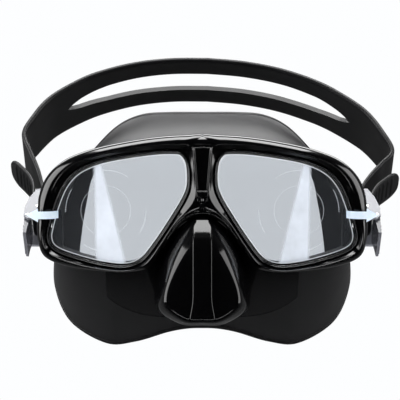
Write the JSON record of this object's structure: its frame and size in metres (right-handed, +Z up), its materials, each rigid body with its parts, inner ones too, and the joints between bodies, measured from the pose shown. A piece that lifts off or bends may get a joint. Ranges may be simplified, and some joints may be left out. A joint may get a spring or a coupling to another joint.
{
  "type": "diving mask",
  "caption": "Twin-lens low-volume diving mask with silicone skirt and nose pocket, swivelling buckles and a split head strap.",
  "frame": {"origin": "middle of the face seal, between the eyes, where the brow meets the skirt", "axes": "+X towards the wearer's left, -Y the way the lenses look, +Z up"},
  "size_m": [0.1963, 0.1251, 0.1482],
  "materials": {
    "frame_plastic": "gloss moulded",
    "trim_plastic": "gloss moulded",
    "retainer_plastic": "satin moulded",
    "lens_glass": "polished tempered glass",
    "film": "clear protective film",
    "tab_film": "milky protective film",
    "skirt_silicone": "satin and gloss silicone",
    "strap_silicone": "satin silicone",
    "smoke_plastic": "translucent smoke polycarbonate",
    "pin_steel": "stainless",
    "lever_plastic": "satin moulded"
  },
  "bodies": {
    "mask": {"frame": "frame_plastic", "bridge_trim": "trim_plastic", "left_retainer_ring": "retainer_plastic", "right_retainer_ring": "retainer_plastic", "left_lens": "lens_glass", "right_lens": "lens_glass", "left_lens_film": "film", "right_lens_film": "film", "left_pull_tab": "tab_film", "right_pull_tab": "tab_film", "skirt": "skirt_silicone", "left_side_bracket": "smoke_plastic", "right_side_bracket": "smoke_plastic", "left_swivel_washer": "pin_steel", "right_swivel_washer": "pin_steel", "left_swivel_pin": "pin_steel", "right_swivel_pin": "pin_steel"},
    "strap": {"strap": "strap_silicone"},
    "left_buckle": {"left_buckle_body": "smoke_plastic", "left_roller_pin": "pin_steel", "left_lever_pin": "pin_steel", "left_lever_spring": "pin_steel"},
    "right_buckle": {"right_buckle_body": "smoke_plastic", "right_roller_pin": "pin_steel", "right_lever_pin": "pin_steel", "right_lever_spring": "pin_steel"},
    "left_roller": {"left_roller": "pin_steel"},
    "right_roller": {"right_roller": "pin_steel"},
    "left_lever": {"left_release_lever": "lever_plastic"},
    "right_lever": {"right_release_lever": "lever_plastic"}
  },
  "joints": [
    {"name": "strap_swing", "type": "hinge", "parent": "mask", "child": "strap", "pos_m": [0, -0.026, -0.014], "axis": [1, 0, 0], "range_deg": [-75, 35]},
    {"name": "left_buckle_swivel", "type": "hinge", "parent": "mask", "child": "left_buckle", "pos_m": [0.077, -0.026, -0.014], "axis": [1, 0, 0], "range_deg": [-75, 35]},
    {"name": "right_buckle_swivel", "type": "hinge", "parent": "mask", "child": "right_buckle", "pos_m": [-0.077, -0.026, -0.014], "axis": [1, 0, 0], "range_deg": [-75, 35]},
    {"name": "left_roller_spin", "type": "hinge", "parent": "left_buckle", "child": "left_roller", "pos_m": [0.0813, -0.01984, -0.00612], "axis": [0, -0.788, 0.6157], "continuous": true},
    {"name": "right_roller_spin", "type": "hinge", "parent": "right_buckle", "child": "right_roller", "pos_m": [-0.0813, -0.01984, -0.00612], "axis": [0, -0.788, 0.6157], "continuous": true},
    {"name": "left_release", "type": "hinge", "parent": "left_buckle", "child": "left_lever", "pos_m": [0.086, -0.02317, -0.01038], "axis": [0, 0.788, -0.6157], "range_deg": [0, 12], "stiffness_Nm_per_rad": 0.03, "springref_deg": -5.73},
    {"name": "right_release", "type": "hinge", "parent": "right_buckle", "child": "right_lever", "pos_m": [-0.086, -0.02317, -0.01038], "axis": [0, -0.788, 0.6157], "range_deg": [0, 12], "stiffness_Nm_per_rad": 0.03, "springref_deg": -5.73}
  ],
  "couplings": [
    {"joint": "left_buckle_swivel", "follows": "strap_swing", "ratio": 1},
    {"joint": "right_buckle_swivel", "follows": "strap_swing", "ratio": 1}
  ]
}
